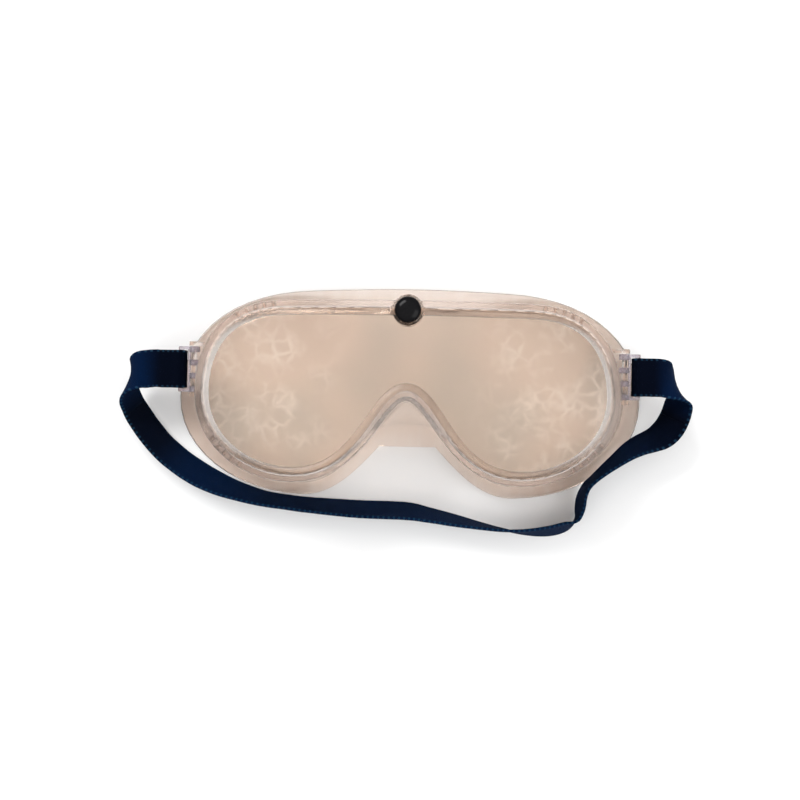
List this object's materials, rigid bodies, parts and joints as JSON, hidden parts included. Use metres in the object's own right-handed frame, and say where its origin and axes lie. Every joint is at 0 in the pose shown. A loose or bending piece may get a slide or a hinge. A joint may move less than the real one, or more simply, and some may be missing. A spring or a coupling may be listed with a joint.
{
  "type": "safety goggles",
  "caption": "Clear soft-framed safety goggles with a one-piece lens, a snap stud, hinged strap clips and an elastic head strap.",
  "frame": {"origin": "middle of the goggles at the bottom of the face flange, on the surface they lie on", "axes": "+Z out through the lens, +Y to the forehead side, +X to the right as seen from the front with the forehead side up"},
  "size_m": [0.2273, 0.0995, 0.0492],
  "materials": {
    "clear_vinyl": "soft clear vinyl with a warm beige tint, smooth",
    "lens_sheet": "clear glossy sheet",
    "stud_black": "glossy black",
    "clip_clear": "clear hard plastic with a lilac-grey tint",
    "strap_navy": "navy woven elastic"
  },
  "bodies": {
    "frame": {"frame_body": "clear_vinyl", "lens": "lens_sheet", "stud_ring": "stud_black", "strap": "strap_navy"},
    "stud": {"stud": "stud_black"},
    "clip_left": {"clip_left": "clip_clear", "strap_end_left": "strap_navy"},
    "clip_right": {"clip_right": "clip_clear", "strap_end_right": "strap_navy"}
  },
  "joints": [
    {"name": "stud_pull", "type": "slide", "parent": "frame", "child": "stud", "axis": [0, 0, 1], "range_m": [0, 0.01]},
    {"name": "clip_left_swing", "type": "hinge", "parent": "frame", "child": "clip_left", "pos_m": [-0.0849, 0.008, 0.02], "axis": [0, 1, 0], "range_deg": [-60, 50], "deforming": ["strap"]},
    {"name": "clip_right_swing", "type": "hinge", "parent": "frame", "child": "clip_right", "pos_m": [0.0849, 0.008, 0.02], "axis": [0, -1, 0], "range_deg": [-60, 50], "deforming": ["strap"]}
  ]
}
